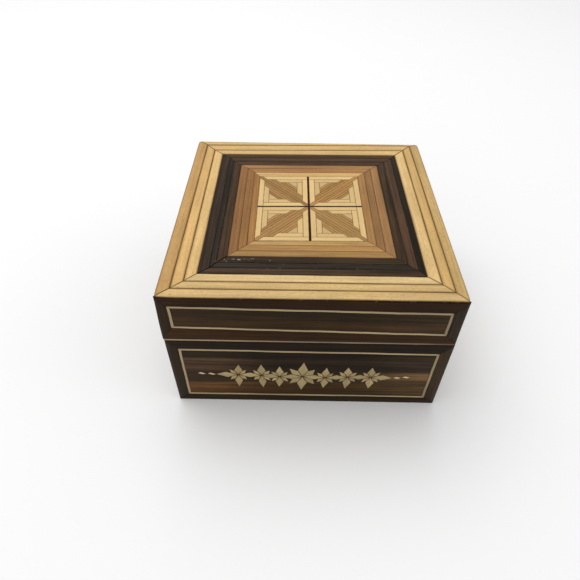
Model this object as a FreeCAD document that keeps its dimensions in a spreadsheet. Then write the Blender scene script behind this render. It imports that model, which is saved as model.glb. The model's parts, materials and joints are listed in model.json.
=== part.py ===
"""Small inlaid wooden box with a hinged lid.

A mitred carcase is covered on its four sides with dark rosewood veneer, pale stringing and a
flower garland, and on top with mitred frames of thin strips around a square marquetry panel.
Millimetres, +Z up. The origin is the centre of the underside, and the front faces -Y.
"""
import FreeCAD, Part
import math
import os

import Sketcher

doc = FreeCAD.newDocument("InlaidBox")

# Driving dimensions ---------------------------------------------------------------------------

SIZES = {
    "width": 110.0,               # overall, along X and along Y
    "height": 65.0,               # overall, lid closed
    "parting": 41.0,              # height of the joint between base and lid
    "veneer": 0.8,                # side veneers
    "strip_thickness": 1.2,       # strips laid on the lid
    "wall": 6.5,                  # carcase boards
    "panel_board": 4.0,           # floor board and lid top board
    "rebate": 2.5,                # how far a panel board runs into the walls
    "lining": 1.0,                # velvet on card
    "lining_drop": 0.8,           # lining edge below the rim
    "eased": 0.15,                # veneer edges kept back from the parting and the table
    "lipping": 0.8,               # pale edge strip round the lid rim
    "stringing": 1.0,
    "mitre_gap": 0.02,
    "cross": 0.8,                 # bars between the four quarters of the panel
    "cross_x": -0.35,             # where the bars meet
    "cross_y": 0.1,
    "quarter": 22.5,              # side of a quarter as drawn, before it's fitted to its place
    "band": 2.4,                  # width of the stepped pale strips
    "spine": 1.7,                 # middle strip of a leaf
    "leaf_strip": 1.28,           # the other leaf strips
    "lid_side_border": 3.5,
    "lid_top_border": 4.1,
    "lid_bottom_border": 5.6,
    "base_side_border": 3.9,
    "base_top_border": 5.1,
    "base_bottom_border": 4.25,
    "inlay": 0.3,                 # depth of the garland in its veneer
    "garland_level": 19.0,
    "petal_start": 0.25,          # upright petals, from the flower's centre
    "petal_gap": 0.22,            # between neighbouring petals
    "bead_start": 0.9,            # lozenges along the garland, from the flower's centre
    "bead_half_height": 1.6,
    "end_bead_length": 9.0,
    "end_bead_half_height": 1.8,
    "bud_half_width": 0.8,
    "bud_half_length": 1.6,
    "hinge_inset": 2.0,           # hinge axis inside the back face
    "bevel_angle": 50.2,          # rear edges of base and lid, each from the horizontal
    "hinge_spacing": 60.0,
    "hinge_length": 14.0,
    "knuckle_radius": 1.4,
    "knuckle_gap": 0.1,
    "knuckle_room": 0.3,
    "pin_radius": 0.55,
    "pin_room": 0.08,
    "leaf_depth": 4.8,            # hinge leaf, from the axis to its inner edge
    "leaf_start": 1.65,           # hinge leaf plate, from the axis to its outer edge
    "leaf_plate": 0.7,
    "leaf_sink": 0.05,
    "mortise_room": 0.1,
    "screw_pitch": 8.0,
    "screw_setback": 3.25,
    "screw_head": 1.0,
    "screw_head_depth": 0.5,
    "screw_shank": 0.5,
    "screw_length": 5.0,
    "slot_width": 0.28,
    "slot_depth": 0.2,
}

# Widths of the lid's strips at the front, right, back and left. The frames aren't quite concentric.
STRIP_WIDTHS = {
    "tan_outer": (4.7, 3.85, 2.5, 4.5),
    "tan_middle": (3.85, 4.05, 4.8, 4.3),
    "tan_inner": (4.05, 4.75, 4.4, 4.35),
    "dark_outer": (3.2, 2.55, 3.2, 3.95),
    "dark_middle": (3.1, 3.6, 3.5, 2.25),
    "dark_inner": (3.6, 3.7, 3.3, 3.7),
    "brown_outer": (3.4, 3.6, 3.0, 3.55),
    "brown_middle": (3.35, 3.15, 3.35, 3.3),
    "brown_inner": (2.8, 3.4, 3.45, 2.8),
}
SIDES = {"front": 0, "right": 1, "back": 2, "left": 3}
for strip, widths in STRIP_WIDTHS.items():
    SIZES.update({f"{strip}_{side}": width for side, width in zip(SIDES, widths)})

sheet = doc.addObject("Spreadsheet::Sheet", "Dims")
for row, (alias, value) in enumerate(SIZES.items(), start=1):
    sheet.set(f"A{row}", alias)
    sheet.set(f"B{row}", str(value))
    sheet.setAlias(f"B{row}", alias)
doc.recompute()

HALF = "Dims.width / 2"
CORE = "(Dims.width / 2 - Dims.veneer)"
INSIDE = "(Dims.width / 2 - Dims.veneer - Dims.wall)"
DECK = "(Dims.height - Dims.strip_thickness)"
AXIS = "(Dims.width / 2 - Dims.hinge_inset)"
PARTING = "Dims.parting"
Z_AXIS = FreeCAD.Vector(0, 0, 1)

nodes = []


def size(alias):
    """A driving dimension as a plain number, for shapes that are drawn in code."""
    return float(sheet.get(alias))


def turned(quarter):
    """Placement that carries a front piece round to another side."""
    return FreeCAD.Placement(FreeCAD.Vector(), FreeCAD.Rotation(Z_AXIS, 90.0 * quarter))


def bind(obj, **expressions):
    for name, expression in expressions.items():
        obj.setExpression(name, expression)
    return obj


def node(obj, name):
    """Marks an object as one of the box's sub-parts."""
    obj.Label = name
    nodes.append(obj)
    return obj


# Building blocks ------------------------------------------------------------------------------

def block(name, x, y, z, length, width, height):
    """Box with its low corner at x, y, z; every value is an expression."""
    box = bind(doc.addObject("Part::Box", name), Length=length, Width=width, Height=height)
    box.setExpression("Placement.Base.x", x)
    box.setExpression("Placement.Base.y", y)
    box.setExpression("Placement.Base.z", z)
    return box


def slab(name, half, z, thickness):
    """Square board centred on the Z axis."""
    return block(name, f"-({half})", f"-({half})", z, f"2 * ({half})", f"2 * ({half})", thickness)


def rod(name, x, y, z, length, radius):
    """Cylinder along +X."""
    cylinder = bind(doc.addObject("Part::Cylinder", name), Radius=radius, Height=length)
    cylinder.Placement = FreeCAD.Placement(
        FreeCAD.Vector(), FreeCAD.Rotation(FreeCAD.Vector(0, 1, 0), 90.0))
    cylinder.setExpression("Placement.Base.x", x)
    cylinder.setExpression("Placement.Base.y", y)
    cylinder.setExpression("Placement.Base.z", z)
    return cylinder


def wedge(name, start, end, start_span, end_span, low, high, placement):
    """Strip with mitred ends: it runs along X, and its width is along Y from start to end."""
    strip = bind(
        doc.addObject("Part::Wedge", name),
        Ymin=start, Ymax=end,
        Xmin=start_span[0], Xmax=start_span[1], X2min=end_span[0], X2max=end_span[1],
        Zmin=low, Zmax=high, Z2min=low, Z2max=high)
    strip.Placement = placement
    return strip


def group(name, members):
    compound = doc.addObject("Part::Compound", name)
    compound.Links = members
    return compound


def joined(name, members):
    fusion = doc.addObject("Part::MultiFuse", name)
    fusion.Shapes = members
    return fusion


def cut(name, base, tool):
    result = doc.addObject("Part::Cut", name)
    result.Base = base
    result.Tool = tool
    return result


def plates(name, outlines, z, thickness, quarter=0):
    """Body of flat plates padded up from z. An outline is a list of (x, y) expressions."""
    body = doc.addObject("PartDesign::Body", name)
    body.AllowCompound = True
    sketch = body.newObject("Sketcher::SketchObject", name + "_outline")
    plane = [f for f in body.Origin.OriginFeatures if f.Role == "XY_Plane"][0]
    sketch.AttachmentSupport = [(plane, "")]
    sketch.MapMode = "FlatFace"
    sketch.setExpression("AttachmentOffset.Base.z", z)
    for outline in outlines:
        first = sketch.GeometryCount
        corners = len(outline)
        ring = [
            FreeCAD.Vector(math.cos(math.tau * k / corners), math.sin(math.tau * k / corners), 0)
            for k in range(corners)]
        lines = [Part.LineSegment(ring[k], ring[(k + 1) % corners]) for k in range(corners)]
        sketch.addGeometry(lines, False)
        sketch.addConstraint([
            Sketcher.Constraint("Coincident", first + k, 2, first + (k + 1) % corners, 1)
            for k in range(corners)])
        for k, (x, y) in enumerate(outline):
            across = sketch.addConstraint(
                Sketcher.Constraint("DistanceX", -1, 1, first + k, 1, ring[k].x))
            along = sketch.addConstraint(
                Sketcher.Constraint("DistanceY", -1, 1, first + k, 1, ring[k].y))
            sketch.setExpression(f"Constraints[{across}]", x)
            sketch.setExpression(f"Constraints[{along}]", y)
    pad = body.newObject("PartDesign::Pad", name + "_pad")
    pad.Profile = sketch
    pad.setExpression("Length", thickness)
    body.Placement = turned(quarter)
    return body


def board(name, low, high, quarter):
    """Mitred carcase board standing between two heights."""
    inner = f"({CORE} - Dims.wall)"
    outline = [
        (f"-{CORE}", f"-{CORE}"), (CORE, f"-{CORE}"), (inner, f"-{inner}"),
        (f"-{inner}", f"-{inner}")]
    return plates(name, [outline], low, f"{high} - {low}", quarter)


def mitred_ring(name, outer, inner, low, high):
    """Four strips between two rectangles, each given by its reach forwards, right, back and left."""
    gap = "Dims.mitre_gap"
    strips = []
    for side, quarter in SIDES.items():
        before, after = (quarter - 1) % 4, (quarter + 1) % 4
        spans = [
            (f"{gap} - {reach[before]}", f"{reach[after]} - {gap}") for reach in (outer, inner)]
        strips.append(wedge(
            f"{name}_{side}", f"-{outer[quarter]}", f"-{inner[quarter]}", *spans, low, high,
            turned(quarter)))
    return strips


def face_frame(name, quarter, half, low, high, side, bottom, top):
    """Mitred frame standing on a side of the box, one veneer thick."""
    back = CORE
    front = HALF
    gap = "Dims.mitre_gap"
    lying = FreeCAD.Rotation(FreeCAD.Vector(1, 0, 0), 90.0)
    upright = FreeCAD.Rotation(FreeCAD.Vector(1, 1, 1), -120.0)
    flat = turned(quarter).multiply(FreeCAD.Placement(FreeCAD.Vector(), lying))
    stand = turned(quarter).multiply(FreeCAD.Placement(FreeCAD.Vector(), upright))
    wide = (f"-({half} - {gap})", f"{half} - {gap}")
    narrow = (f"-({half} - {side} - {gap})", f"{half} - {side} - {gap}")
    tall = (f"{low} + {gap}", f"{high} - {gap}")
    short = (f"{low} + {bottom} + {gap}", f"{high} - {top} - {gap}")
    near = (back, front)
    away = (f"-({front})", f"-{back}")
    return [
        wedge(f"{name}_bottom", low, f"{low} + {bottom}", wide, narrow, *near, flat),
        wedge(f"{name}_top", f"{high} - {top}", high, narrow, wide, *near, flat),
        wedge(f"{name}_left", f"-({half})", f"{side} - ({half})", tall, short, *away, stand),
        wedge(f"{name}_right", f"{half} - {side}", half, short, tall, *away, stand)]


# Hinges: two small brass butts let into the rear rims ------------------------------------------

def hinge_leaves(part, direction, own_knuckles, bore):
    """Leaves of both hinges; direction is -1 for the base and 1 for the lid."""
    low = "Dims.leaf_sink" if direction > 0 else "-(Dims.leaf_sink + Dims.leaf_plate)"
    level = f"{PARTING} + {low}"
    step = "Dims.hinge_length / 5"
    leaves = []
    for index, side in enumerate((-1, 1)):
        name = f"{part}_leaf_{index}"
        start = f"{side} * Dims.hinge_spacing / 2 - Dims.hinge_length / 2"
        plate = block(
            f"{name}_plate", start, f"{AXIS} - Dims.leaf_depth", level,
            "Dims.hinge_length", "Dims.leaf_depth - Dims.leaf_start", "Dims.leaf_plate")
        members = [plate]
        for place in own_knuckles:
            left = f"{start} + {place} * {step} + Dims.knuckle_gap / 2"
            run = f"{step} - Dims.knuckle_gap"
            members.append(block(
                f"{name}_neck_{place}", left, f"{AXIS} - Dims.leaf_start - 0.2", level,
                run, "Dims.leaf_start + 0.2", "Dims.leaf_plate"))
            members.append(rod(f"{name}_knuckle_{place}", left, AXIS, PARTING, run,
                               "Dims.knuckle_radius"))
        solid = joined(f"{name}_solid", members)
        hole = rod(f"{name}_bore", f"{start} - 1", AXIS, PARTING, "Dims.hinge_length + 2", bore)
        leaves.append(cut(f"{name}_bored", solid, hole))
    return group(f"{part}_leaves_plain", leaves)


def screw_blanks(part, direction):
    """Countersunk screws without slots; they also cut their own holes."""
    level = f"{PARTING} + {direction} * Dims.leaf_sink"
    flip = FreeCAD.Rotation(FreeCAD.Vector(1, 0, 0), 0.0 if direction > 0 else 180.0)
    screws = []
    for side in (-1, 1):
        for place in (-1, 1):
            name = f"{part}_screw_{len(screws)}"
            x = f"{side} * Dims.hinge_spacing / 2 + {place} * Dims.screw_pitch / 2"
            y = f"{AXIS} - Dims.screw_setback"
            head = bind(
                doc.addObject("Part::Cone", name + "_head"), Radius1="Dims.screw_head",
                Radius2="Dims.screw_shank", Height="Dims.screw_head_depth")
            shank = bind(
                doc.addObject("Part::Cylinder", name + "_shank"), Radius="Dims.screw_shank",
                Height="Dims.screw_length")
            for solid in (head, shank):
                solid.Placement = FreeCAD.Placement(FreeCAD.Vector(), flip)
                solid.setExpression("Placement.Base.x", x)
                solid.setExpression("Placement.Base.y", y)
                solid.setExpression("Placement.Base.z", level)
            screws.append(joined(name, [head, shank]))
    return group(f"{part}_screw_blanks", screws)


def slotted(part, direction, blanks):
    low = f"{PARTING} + {direction} * Dims.leaf_sink"
    if direction < 0:
        low = f"{low} - Dims.slot_depth"
    slots = [
        block(
            f"{part}_slot_{index}",
            f"{side} * Dims.hinge_spacing / 2 + {place} * Dims.screw_pitch / 2 - Dims.slot_width / 2",
            f"{AXIS} - Dims.screw_setback - 2", low, "Dims.slot_width", "4", "Dims.slot_depth")
        for index, (side, place) in enumerate(((-1, -1), (-1, 1), (1, -1), (1, 1)))]
    return cut(f"{part}_screws", blanks, group(f"{part}_slots", slots))


def rear_cutters(part, direction, panel, blanks):
    """Everything cut out of a half's boards: panel rebate, rear bevel, hinge beds and holes."""
    reach = 8
    rise = f"{reach} * tan(Dims.bevel_angle * 1deg)"
    level = (PARTING, f"{PARTING} + {rise}") if direction > 0 else (f"{PARTING} - {rise}", PARTING)
    bevel = bind(
        doc.addObject("Part::Wedge", f"{part}_bevel"),
        Ymin=f"-({AXIS} + {reach})", Ymax=f"-{AXIS}", Xmin=f"-{HALF} - 5", Xmax=f"{HALF} + 5",
        X2min=f"-{HALF} - 5", X2max=f"{HALF} + 5", Zmin=level[0], Zmax=level[1],
        Z2min=PARTING, Z2max=PARTING)
    bevel.Placement = turned(2)
    members = [panel, bevel, blanks]
    deep = "(Dims.leaf_sink + Dims.leaf_plate)"
    for index, side in enumerate((-1, 1)):
        start = f"{side} * Dims.hinge_spacing / 2 - Dims.hinge_length / 2"
        bed = block(
            f"{part}_bed_{index}", f"{start} - Dims.mortise_room",
            f"{AXIS} - Dims.leaf_depth - Dims.mortise_room",
            PARTING if direction > 0 else f"{PARTING} - {deep}",
            "Dims.hinge_length + 2 * Dims.mortise_room",
            "Dims.leaf_depth + Dims.mortise_room", deep)
        room = rod(
            f"{part}_room_{index}", f"{start} - Dims.mortise_room", AXIS, PARTING,
            "Dims.hinge_length + 2 * Dims.mortise_room",
            "Dims.knuckle_radius + Dims.knuckle_room")
        members += [bed, room]
    return joined(f"{part}_cutters", members)


base_screws = screw_blanks("base", -1)
lid_screws = screw_blanks("lid", 1)
node(cut("base_leaves", hinge_leaves("base", -1, (0, 2, 4), "Dims.pin_radius"), base_screws),
     "base_hinge_leaves")
node(cut("lid_leaves", hinge_leaves("lid", 1, (1, 3), "Dims.pin_radius + Dims.pin_room"),
         lid_screws), "lid_hinge_leaves")
node(slotted("base", -1, base_screws), "base_hinge_screws")
node(slotted("lid", 1, lid_screws), "lid_hinge_screws")
pins = [
    rod(f"pin_{index}", f"{side} * Dims.hinge_spacing / 2 - Dims.hinge_length / 2", AXIS, PARTING,
        "Dims.hinge_length", "Dims.pin_radius")
    for index, side in enumerate((-1, 1))]
node(group("pins", pins), "hinge_pins")

# Carcase --------------------------------------------------------------------------------------

panel_half = f"({INSIDE} + Dims.rebate)"
floor = node(slab("floor_board", panel_half, "0", "Dims.panel_board"), "base_floor_board")
top = node(
    slab("top_board", panel_half, f"{DECK} - Dims.panel_board", "Dims.panel_board"),
    "lid_top_board")
cutters = {
    "base": rear_cutters("base", -1, floor, base_screws),
    "lid": rear_cutters("lid", 1, top, lid_screws),
}
for side, quarter in SIDES.items():
    base_board = board(f"base_{side}_blank", "0", PARTING, quarter)
    node(cut(f"base_{side}", base_board, cutters["base"]), f"base_{side}_board")
    lid_board = board(f"lid_{side}_blank", PARTING, DECK, quarter)
    node(cut(f"lid_{side}", lid_board, cutters["lid"]), f"lid_{side}_board")

# Linings --------------------------------------------------------------------------------------

floor_top = "(Dims.panel_board + Dims.lining)"
ceiling = f"({DECK} - Dims.panel_board - Dims.lining)"
node(slab("floor_lining", INSIDE, "Dims.panel_board", "Dims.lining"), "base_floor_lining")
node(slab("ceiling_lining", INSIDE, ceiling, "Dims.lining"), "lid_ceiling_lining")
lined = ([INSIDE] * 4, [f"({INSIDE} - Dims.lining)"] * 4)
node(group("base_linings", mitred_ring(
    "base_lining", *lined, floor_top, f"{PARTING} - Dims.lining_drop")), "base_wall_linings")
node(group("lid_linings", mitred_ring(
    "lid_lining", *lined, f"{PARTING} + Dims.lining_drop", ceiling)), "lid_wall_linings")

# Side veneers: border, stringing and field on each side of each half ---------------------------

GARLAND_SIDES = ("front", "right", "left")


# The hand-cut flowers are unevenly spaced: place along the side, height above the garland level,
# rise of the upper and of the lower petal, their half width, and reach of the slanting petals.
FLOWERS = (
    (-29.0, 0.2, 6.8, 8.6, 1.60, 3.4),
    (-19.3, 0.0, 7.6, 8.8, 1.60, 3.4),
    (-11.9, -0.6, 7.2, 7.5, 1.55, 3.4),
    (-2.4, -0.3, 9.8, 9.9, 1.95, 5.2),
    (6.9, -0.8, 7.0, 7.7, 1.55, 3.4),
    (16.3, -0.2, 6.7, 8.6, 1.65, 3.4),
    (25.8, 0.0, 7.1, 8.2, 1.65, 3.4),
)
BUDS = ((-43.7, 0.7), (-39.7, 0.5), (36.9, 0.1), (40.7, 0.5))


def upright(x, z, rise, half_width, way):
    """Outline of a petal that points up (way 1) or down (way -1)."""
    middle = 0.45 * rise
    start = size("petal_start")
    return [
        (x, z + way * start), (x + half_width, z + way * middle), (x, z + way * rise),
        (x - half_width, z + way * middle)]


def slanting(x, z, rise, half_width, reach, bead_slope, side, way):
    """Outline of a petal in the corner between an upright petal and the bead beside it."""
    start = size("petal_start")
    gap = size("petal_gap")
    high = 0.72 * reach
    upper = half_width * (high - start) / (0.45 * rise - start) + gap
    wide = 0.8 * reach
    lower = bead_slope * (wide - size("bead_start")) + gap
    outline = [(1.4 * start, 1.4 * start), (upper, high), (reach, reach), (wide, lower)]
    return [(x + side * a, z + way * b) for a, b in outline]


def lozenge(left, right, half_height):
    """Outline of a bead between two points on the garland."""
    middle = ((left[0] + right[0]) / 2, (left[1] + right[1]) / 2)
    return [
        left, (middle[0], middle[1] - half_height), right, (middle[0], middle[1] + half_height)]


def bead_slope(index, side, way):
    """How steeply the bead beside a flower widens, above (way 1) or below (way -1)."""
    start = size("bead_start")
    beside = index + side
    if not 0 <= beside < len(FLOWERS):
        return 2 * size("end_bead_half_height") / (size("end_bead_length") - start)
    run = abs(FLOWERS[beside][0] - FLOWERS[index][0]) / 2 - start
    climb = way * (FLOWERS[beside][1] - FLOWERS[index][1]) / 2
    return (size("bead_half_height") + climb) / run


def garland():
    """Outlines of seven flowers, the beads that join them and two buds at each end."""
    level = size("garland_level")
    start = size("bead_start")
    outlines = []
    for index, (x, lift, above, below, half_width, reach) in enumerate(FLOWERS):
        z = level + lift
        for rise, way in ((above, 1), (below, -1)):
            outlines.append(upright(x, z, rise, half_width, way))
            for side in (-1, 1):
                slope = bead_slope(index, side, way)
                outlines.append(slanting(x, z, rise, half_width, reach, slope, side, way))
    for before, after in zip(FLOWERS, FLOWERS[1:]):
        outlines.append(lozenge(
            (before[0] + start, level + before[1]), (after[0] - start, level + after[1]),
            size("bead_half_height")))
    for flower, way in ((FLOWERS[0], -1), (FLOWERS[-1], 1)):
        ends = [(flower[0] + way * start, level + flower[1]),
                (flower[0] + way * size("end_bead_length"), level + flower[1])]
        outlines.append(lozenge(*sorted(ends), size("end_bead_half_height")))
    half = size("bud_half_length")
    for x, lift in BUDS:
        outlines.append(lozenge(
            (x - half, level + lift), (x + half, level + lift), size("bud_half_width")))
    face = -size("width") / 2
    return [[FreeCAD.Vector(x, face, z) for x, z in outline] for outline in outlines]


def inlay(name, outlines, quarter):
    """Thin plates let into the face of the front veneer, then turned to their own side."""
    into = FreeCAD.Vector(0, size("inlay"), 0)
    feature = doc.addObject("Part::Feature", name)
    feature.Shape = Part.makeCompound([
        Part.Face(Part.makePolygon(corners + corners[:1])).extrude(into) for corners in outlines])
    feature.Placement = turned(quarter)
    return feature


def side_veneers(part, low, high):
    strings = []
    for side, quarter in SIDES.items():
        # Front and back veneers cover the ends of the veneers on the other two sides.
        half = HALF if quarter % 2 == 0 else CORE
        cover = "0" if quarter % 2 == 0 else "Dims.veneer"
        border_side = f"(Dims.{part}_side_border - {cover})"
        bottom = f"Dims.{part}_bottom_border"
        border_top = f"Dims.{part}_top_border"
        name = f"{part}_{side}"
        border = group(f"{name}_border_strips", face_frame(
            f"{name}_border", quarter, half, low, high, border_side, bottom, border_top))
        if side != "front":
            border = cut(f"{name}_border_cut", border, cutters[part])
        node(border, f"{part}_border_{side}")

        string_half = f"({half} - {border_side})"
        string_low = f"({low} + {bottom})"
        string_high = f"({high} - {border_top})"
        line = "Dims.stringing"
        strings += face_frame(
            f"{name}_string", quarter, string_half, string_low, string_high, line, line, line)

        field_half = f"({string_half} - {line})"
        field = block(
            f"{name}_field_veneer", f"-{field_half}", f"-({HALF})", f"{string_low} + {line}",
            f"2 * {field_half}", "Dims.veneer", f"{string_high} - {string_low} - 2 * {line}")
        field = group(f"{name}_field_side", [field])
        field.Placement = turned(quarter)
        if part == "base" and side in GARLAND_SIDES:
            flowers = node(inlay(f"garland_{side}", garland(), quarter), f"base_garland_{side}")
            field = cut(f"{name}_field_cut", field, flowers)
        node(field, f"{part}_field_{side}")
    node(group(f"{part}_strings", strings), f"{part}_stringing")


side_veneers("base", "Dims.eased", f"({PARTING} - Dims.eased)")
side_veneers("lid", f"({PARTING} + Dims.eased + Dims.lipping)", DECK)

# Pale strip along the lid rim, on the three sides that show ------------------------------------

rim = f"{PARTING} + Dims.eased"
rim_strips = [
    block("rim_front", f"-({HALF})", f"-({HALF})", rim, "Dims.width", "Dims.veneer", "Dims.lipping"),
    block("rim_left", f"-({HALF})", f"-{CORE}", rim, "Dims.veneer", f"2 * {CORE}", "Dims.lipping"),
    block("rim_right", CORE, f"-{CORE}", rim, "Dims.veneer", f"2 * {CORE}", "Dims.lipping")]
node(cut("rim_lipping", group("rim_strips", rim_strips), cutters["lid"]), "lid_rim_lipping")

# Lid top: three frames of three strips each ----------------------------------------------------

reach = [f"({HALF})"] * 4
for strip in STRIP_WIDTHS:
    inner = [f"({outer} - Dims.{strip}_{side})" for outer, side in zip(reach, SIDES)]
    strips = mitred_ring(f"top_{strip}", reach, inner, DECK, "Dims.height")
    node(group(f"top_{strip}_frame", strips), f"top_{strip}")
    reach = inner

# Middle panel: a cross, and in each quarter a leaf between stepped corners ----------------------

FRONT, RIGHT, BACK, LEFT = reach
BAR = "(Dims.cross / 2)"
bars = [
    block("cross_upright", f"Dims.cross_x - {BAR}", f"-{FRONT}", DECK, "Dims.cross",
          f"{FRONT} + {BACK}", "Dims.strip_thickness"),
    block("cross_left", f"-{LEFT}", f"Dims.cross_y - {BAR}", DECK,
          f"{LEFT} + Dims.cross_x - {BAR}", "Dims.cross", "Dims.strip_thickness"),
    block("cross_right", f"Dims.cross_x + {BAR}", f"Dims.cross_y - {BAR}", DECK,
          f"{RIGHT} - Dims.cross_x - {BAR}", "Dims.cross", "Dims.strip_thickness")]
node(group("cross_bars", bars), "top_cross")

# A quarter is drawn as a square that starts at its corner beside the cross, then fitted.
# Across a quarter, the leaf's edges lie these distances from its diagonal, measured along X or Y.
SPINE = "(Dims.spine * 0.7071)"
STRIP = "(Dims.leaf_strip * 1.4142)"


def leaf_outlines():
    """Nine strips side by side; the outer ones stop at the stepped bands."""
    low = "0"
    high = "Dims.quarter"
    spine = [
        (low, low), (f"{low} + {SPINE}", low), (high, f"{high} - {SPINE}"), (high, high),
        (f"{high} - {SPINE}", high), (low, f"{low} + {SPINE}")]
    outlines = [spine]
    for index in range(4):
        inset = f"{1 + index // 2} * Dims.band"
        near = f"({SPINE} + {index} * {STRIP} + Dims.mitre_gap)"
        far = f"({SPINE} + {index + 1} * {STRIP})"
        start = f"({low} + {inset})"
        end = f"({high} - {inset})"
        strip = [
            (f"{start} + {near}", start), (f"{start} + {far}", start),
            (end, f"{end} - {far}"), (end, f"{end} - {near}")]
        outlines += [strip, [(y, x) for x, y in strip]]
    return outlines


def step_outlines():
    """Pale strips round the two free corners of a quarter: two bands and a small triangle."""
    outlines = []
    gap = "Dims.mitre_gap"
    for index in range(2):
        near = SPINE if index == 0 else f"({SPINE} + 2 * {STRIP})"
        start = f"({index} * Dims.band)"
        inner = f"({index + 1} * Dims.band - {gap})"
        end = f"(Dims.quarter - {index} * Dims.band)"
        outer = f"(Dims.quarter - {index + 1} * Dims.band + {gap})"
        along = [
            (f"{start} + {near} + {gap}", start), (f"{outer} - {gap}", start),
            (f"{outer} - {gap}", inner), (f"{inner} + {near} + {gap}", inner)]
        across = [
            (outer, start), (end, start), (end, f"{end} - {near} - {gap}"),
            (outer, f"{outer} - {near} - {gap}")]
        outlines += [along, across]
    reach = f"({SPINE} + 4 * {STRIP} + {gap})"
    start = "(2 * Dims.band)"
    end = "(Dims.quarter - 2 * Dims.band)"
    outlines.append([(f"{start} + {reach}", start), (end, start), (end, f"{end} - {reach}")])
    return outlines + [[(y, x) for x, y in outline] for outline in outlines]


def in_quarter(outlines, x_sign, y_sign):
    """Outlines fitted between the cross and the strips round the panel."""
    x_reach = RIGHT if x_sign > 0 else LEFT
    y_reach = BACK if y_sign > 0 else FRONT
    x_scale = f"({x_reach} - {x_sign} * Dims.cross_x - {BAR}) / Dims.quarter"
    y_scale = f"({y_reach} - {y_sign} * Dims.cross_y - {BAR}) / Dims.quarter"
    return [
        [(f"Dims.cross_x + {x_sign} * ({BAR} + ({x}) * {x_scale})",
          f"Dims.cross_y + {y_sign} * ({BAR} + ({y}) * {y_scale})") for x, y in corners]
        for corners in outlines]


for name, x_sign, y_sign in (("fl", -1, -1), ("fr", 1, -1), ("bl", -1, 1), ("br", 1, 1)):
    node(plates(f"leaf_{name}", in_quarter(leaf_outlines(), x_sign, y_sign), DECK,
                "Dims.strip_thickness"), f"top_leaf_{name}")
    node(plates(f"steps_{name}", in_quarter(step_outlines(), x_sign, y_sign), DECK,
                "Dims.strip_thickness"), f"top_steps_{name}")

# Check and write ------------------------------------------------------------------------------

doc.recompute()
for obj in doc.Objects:
    if {"Invalid", "Error"} & set(obj.State):
        raise RuntimeError(f"{obj.Name} failed: {obj.State}")
for obj in nodes:
    if obj.Shape.isNull() or not obj.Shape.isValid() or not obj.Shape.Solids:
        raise RuntimeError(f"{obj.Label} has no valid solid")
if len({obj.Label for obj in nodes}) != len(nodes):
    raise RuntimeError("two sub-parts share a name")

os.makedirs("parts", exist_ok=True)
for obj in nodes:
    obj.Shape.exportStep(f"parts/{obj.Label}.step")
    print(f"{obj.Label}: {len(obj.Shape.Solids)} solids, {obj.Shape.Volume:.2f} mm3")
print(len(nodes), "sub-parts")
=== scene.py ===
"""Looks of the inlaid wooden box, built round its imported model. Geometry is in millimetres here."""
import json
import math
import random

import bmesh
import bpy
import numpy as np
from mathutils import Matrix, Vector


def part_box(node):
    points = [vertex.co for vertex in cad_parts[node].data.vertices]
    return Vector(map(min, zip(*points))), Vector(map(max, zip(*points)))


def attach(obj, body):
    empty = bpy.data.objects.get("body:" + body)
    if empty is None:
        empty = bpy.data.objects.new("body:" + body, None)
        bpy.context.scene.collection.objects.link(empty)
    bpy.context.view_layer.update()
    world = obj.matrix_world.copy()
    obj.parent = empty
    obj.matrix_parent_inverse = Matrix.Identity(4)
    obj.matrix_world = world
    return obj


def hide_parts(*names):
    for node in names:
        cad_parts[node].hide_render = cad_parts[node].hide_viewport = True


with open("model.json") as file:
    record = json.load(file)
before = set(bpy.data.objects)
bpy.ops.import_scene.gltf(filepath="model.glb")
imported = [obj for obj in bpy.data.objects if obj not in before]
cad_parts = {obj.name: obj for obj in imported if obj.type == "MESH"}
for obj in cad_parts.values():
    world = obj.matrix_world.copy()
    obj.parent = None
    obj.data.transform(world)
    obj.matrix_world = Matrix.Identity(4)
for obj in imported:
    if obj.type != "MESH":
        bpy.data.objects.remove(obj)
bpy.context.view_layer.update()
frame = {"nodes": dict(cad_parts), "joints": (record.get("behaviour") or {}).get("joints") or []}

MM = 0.001
SEED = 4107


def span(node):
    """Lowest and highest corner of a CAD node, in millimetres."""
    low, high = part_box(node)
    return np.array(low) / MM, np.array(high) / MM


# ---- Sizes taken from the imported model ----

HALF = span("top_tan_outer")[1][0]
DECK, HEIGHT = span("top_tan_outer")[0][2], span("top_tan_outer")[1][2]
STRIP = HEIGHT - DECK
CORE = span("lid_front_board")[1][0]
VENEER = HALF - CORE
AXIS_Y, PARTING = (value / MM for value in frame["joints"][0]["pos_m"][1:])
SIDES = ("front", "right", "back", "left")
RINGS = [f"top_{wood}_{place}" for wood in ("tan", "dark", "brown")
         for place in ("outer", "middle", "inner")]
# How far the left and right veneers, and the ends of the lid's outer strips, stand out of the box.
OUT = 0.55
STRIP_OUT = 0.35
# Radii of the upright corners of the lid's strips and of the sides, and of the outer edges.
STRIP_CORNER = 2.2
SIDE_CORNER = 0.7
EDGE_RADIUS = {"base": 0.25, "lid": 0.5}
# Heights, and how much further out the left and right sides lean there.
LEAN_HEIGHTS = (0, 38, 41, 42, 50, 62)
LEFT_LEAN = (0.3, 0.3, 0.25, 0.6, 0.5, 0.0)
RIGHT_LEAN = (0.7, 0.35, 0.35, 0.3, 0.1, 0.0)
# Distances from the middle between which the lean comes in.
LEAN_IN = (50, 54)
# Rounded edges, each the width and the depth of its curve.
BAR_END = (0.25, 0.18)
SIDE_EDGE = (0.15, 0.1)
THIN_EDGE = (0.1, 0.08)
PLATE_EDGE = (0.14, 0.1)
PETAL_EDGE = (0.12, 0.05)
# Distances between grid points along strips, across sheets and round plates.
BAR_STEP = 2.5
SHEET_STEP = 0.8
PLATE_STEP = 1.2
VELVET_EDGE = (0.8, 0.6)
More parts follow.
